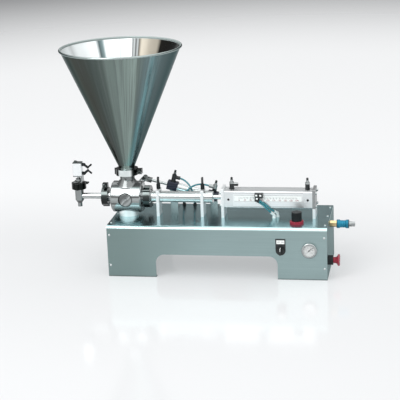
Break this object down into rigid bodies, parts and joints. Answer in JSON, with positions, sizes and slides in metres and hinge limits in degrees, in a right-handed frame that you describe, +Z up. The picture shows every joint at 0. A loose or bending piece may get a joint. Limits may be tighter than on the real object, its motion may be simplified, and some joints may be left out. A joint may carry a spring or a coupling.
{
  "type": "piston filling machine",
  "caption": "Bench-top pneumatic piston filling machine: conical hopper on a three-way valve, metering cylinder, air drive, shut-off nozzle and a sheet cabinet with controls.",
  "frame": {"origin": "on the floor under the middle of the whole machine", "axes": "+X along the cabinet, from the nozzle to the air inlet; front at -Y; +Z up"},
  "size_m": [1.0076, 0.4239, 0.781],
  "materials": {
    "cabinet_steel": "satin brushed sheet",
    "polished_steel": "polished",
    "hopper_steel": "polished sheet",
    "aluminium": "satin anodised",
    "dark_metal": "dark satin",
    "zinc": "bright zinc",
    "brass": "polished",
    "black_plastic": "moulded",
    "white_plastic": "moulded",
    "red_plastic": "moulded",
    "blue_plastic": "anodised look",
    "dial_card": "printed card",
    "scale_strip": "printed strip",
    "clear": "clear",
    "seal_rubber": "moulded",
    "hose": "semi-clear polyurethane"
  },
  "bodies": {
    "machine": {"actuator_body": "aluminium", "actuator_brackets": "polished_steel", "cabinet_screws": "zinc", "cabinet_shell": "cabinet_steel", "clamp_gaskets": "seal_rubber", "control_valves": "black_plastic", "cylinder_rear_cap": "polished_steel", "drive_barrel": "aluminium", "drive_bolts": "zinc", "drive_heads": "aluminium", "estop_base": "black_plastic", "gauge_case": "polished_steel", "gauge_dial": "dial_card", "gauge_lens": "clear", "hopper": "hopper_steel", "hopper_clamp": "dark_metal", "hose_fittings": "white_plastic", "hoses": "hose", "inlet_fitting": "brass", "inlet_valve_body": "polished_steel", "left_end_panel": "cabinet_steel", "limit_valve": "black_plastic", "material_cylinder": "polished_steel", "nozzle_body": "polished_steel", "nozzle_bracket": "polished_steel", "nozzle_cylinder": "aluminium", "nozzle_elbows": "black_plastic", "outlet_pipe": "polished_steel", "pipe_clamps": "dark_metal", "posts": "polished_steel", "regulator_body": "black_plastic", "regulator_nut": "red_plastic", "right_end_panel": "cabinet_steel", "selector_body": "black_plastic", "speed_controllers": "black_plastic", "stroke_scale": "scale_strip", "valve_body": "polished_steel", "valve_pedestal": "polished_steel"},
    "piston_group": {"pistons": "aluminium", "piston_rod": "polished_steel"},
    "valve_plug_group": {"valve_spool": "polished_steel", "valve_lever": "polished_steel"},
    "actuator_rod_group": {"actuator_rod": "polished_steel"},
    "nozzle_plug_group": {"nozzle_plug": "polished_steel"},
    "regulator_knob_body": {"regulator_knob": "black_plastic"},
    "selector_knob_body": {"selector_knob": "black_plastic"},
    "estop_plunger_body": {"estop_plunger": "red_plastic"},
    "estop_mushroom_body": {"estop_mushroom": "red_plastic"},
    "gauge_needle_body": {"gauge_needle": "black_plastic"},
    "inlet_sleeve_body": {"inlet_sleeve": "blue_plastic"},
    "clamp_knob_1_body": {"clamp_knob_1": "black_plastic"},
    "clamp_knob_2_body": {"clamp_knob_2": "black_plastic"},
    "hopper_wing_nut_body": {"hopper_wing_nut": "dark_metal"},
    "cylinder_wing_nut_body": {"cylinder_wing_nut": "dark_metal"},
    "outlet_wing_nut_body": {"outlet_wing_nut": "dark_metal"},
    "nozzle_wing_nut_body": {"nozzle_wing_nut": "dark_metal"},
    "drive_front_speed_screw_body": {"drive_front_speed_screw": "dark_metal"},
    "drive_rear_speed_screw_body": {"drive_rear_speed_screw": "dark_metal"},
    "actuator_front_speed_screw_body": {"actuator_front_speed_screw": "dark_metal"},
    "actuator_rear_speed_screw_body": {"actuator_rear_speed_screw": "dark_metal"}
  },
  "joints": [
    {"name": "piston_slide", "type": "slide", "parent": "machine", "child": "piston_group", "axis": [-1, 0, 0], "range_m": [0, 0.12]},
    {"name": "valve_turn", "type": "hinge", "parent": "machine", "child": "valve_plug_group", "pos_m": [-0.2918, 0.06, 0.248], "axis": [0, -1, 0], "range_deg": [0, 60]},
    {"name": "actuator_slide", "type": "slide", "parent": "machine", "child": "actuator_rod_group", "axis": [-0.9699, 0, 0.2436], "range_m": [0, 0.06859]},
    {"name": "nozzle_lift", "type": "slide", "parent": "machine", "child": "nozzle_plug_group", "axis": [0, 0, 1], "range_m": [0, 0.008]},
    {"name": "regulator_turn", "type": "hinge", "parent": "machine", "child": "regulator_knob_body", "pos_m": [0.3107, -0.084, 0.183], "axis": [0, 0, 1], "continuous": true},
    {"name": "selector_turn", "type": "hinge", "parent": "machine", "child": "selector_knob_body", "pos_m": [0.2607, -0.145, 0.104], "axis": [0, 1, 0], "range_deg": [0, 60]},
    {"name": "estop_push", "type": "slide", "parent": "machine", "child": "estop_plunger_body", "axis": [-1, 0, 0], "range_m": [0, 0.006], "stiffness_N_per_m": 600},
    {"name": "estop_twist", "type": "hinge", "parent": "estop_plunger_body", "child": "estop_mushroom_body", "pos_m": [0.4182, -0.114, 0.063], "axis": [1, 0, 0], "range_deg": [0, 45], "stiffness_Nm_per_rad": 0.05},
    {"name": "gauge_needle_turn", "type": "hinge", "parent": "machine", "child": "gauge_needle_body", "pos_m": [0.3582, -0.145, 0.106], "axis": [0, 1, 0], "range_deg": [-185, 85], "stiffness_Nm_per_rad": 0.002},
    {"name": "inlet_sleeve_slide", "type": "slide", "parent": "machine", "child": "inlet_sleeve_body", "axis": [1, 0, 0], "range_m": [0, 0.009]},
    {"name": "clamp_knob_1_turn", "type": "hinge", "parent": "machine", "child": "clamp_knob_1_body", "pos_m": [-0.1822, 0, 0.248], "axis": [0, 0, 1], "continuous": true},
    {"name": "clamp_knob_2_turn", "type": "hinge", "parent": "machine", "child": "clamp_knob_2_body", "pos_m": [-0.0253, 0, 0.248], "axis": [0, 0, 1], "continuous": true},
    {"name": "hopper_wing_nut_turn", "type": "hinge", "parent": "machine", "child": "hopper_wing_nut_body", "pos_m": [-0.2435, 0, 0.34], "axis": [0, 1, 0], "continuous": true},
    {"name": "cylinder_wing_nut_turn", "type": "hinge", "parent": "machine", "child": "cylinder_wing_nut_body", "pos_m": [-0.2208, 0.03415, 0.21385], "axis": [0, -0.7071, -0.7071], "continuous": true},
    {"name": "outlet_wing_nut_turn", "type": "hinge", "parent": "machine", "child": "outlet_wing_nut_body", "pos_m": [-0.3728, 0, 0.28955], "axis": [0, 1, 0], "continuous": true},
    {"name": "nozzle_wing_nut_turn", "type": "hinge", "parent": "machine", "child": "nozzle_wing_nut_body", "pos_m": [-0.4688, 0.0343, 0.286], "axis": [-1, 0, 0], "continuous": true},
    {"name": "drive_front_speed_screw_turn", "type": "hinge", "parent": "machine", "child": "drive_front_speed_screw_body", "pos_m": [0.0782, 0, 0.278], "axis": [0, 0, 1], "continuous": true},
    {"name": "drive_rear_speed_screw_turn", "type": "hinge", "parent": "machine", "child": "drive_rear_speed_screw_body", "pos_m": [0.3412, 0, 0.278], "axis": [0, 0, 1], "continuous": true},
    {"name": "actuator_front_speed_screw_turn", "type": "hinge", "parent": "machine", "child": "actuator_front_speed_screw_body", "pos_m": [-0.14052, 0.06, 0.28671], "axis": [0.2436, 0, 0.9699], "continuous": true},
    {"name": "actuator_rear_speed_screw_turn", "type": "hinge", "parent": "machine", "child": "actuator_rear_speed_screw_body", "pos_m": [0.00457, 0.06, 0.25027], "axis": [0.2436, 0, 0.9699], "continuous": true}
  ],
  "couplings": [
    {"joint": "actuator_slide", "follows": "valve_turn", "m_per_rad": 0.065498}
  ]
}
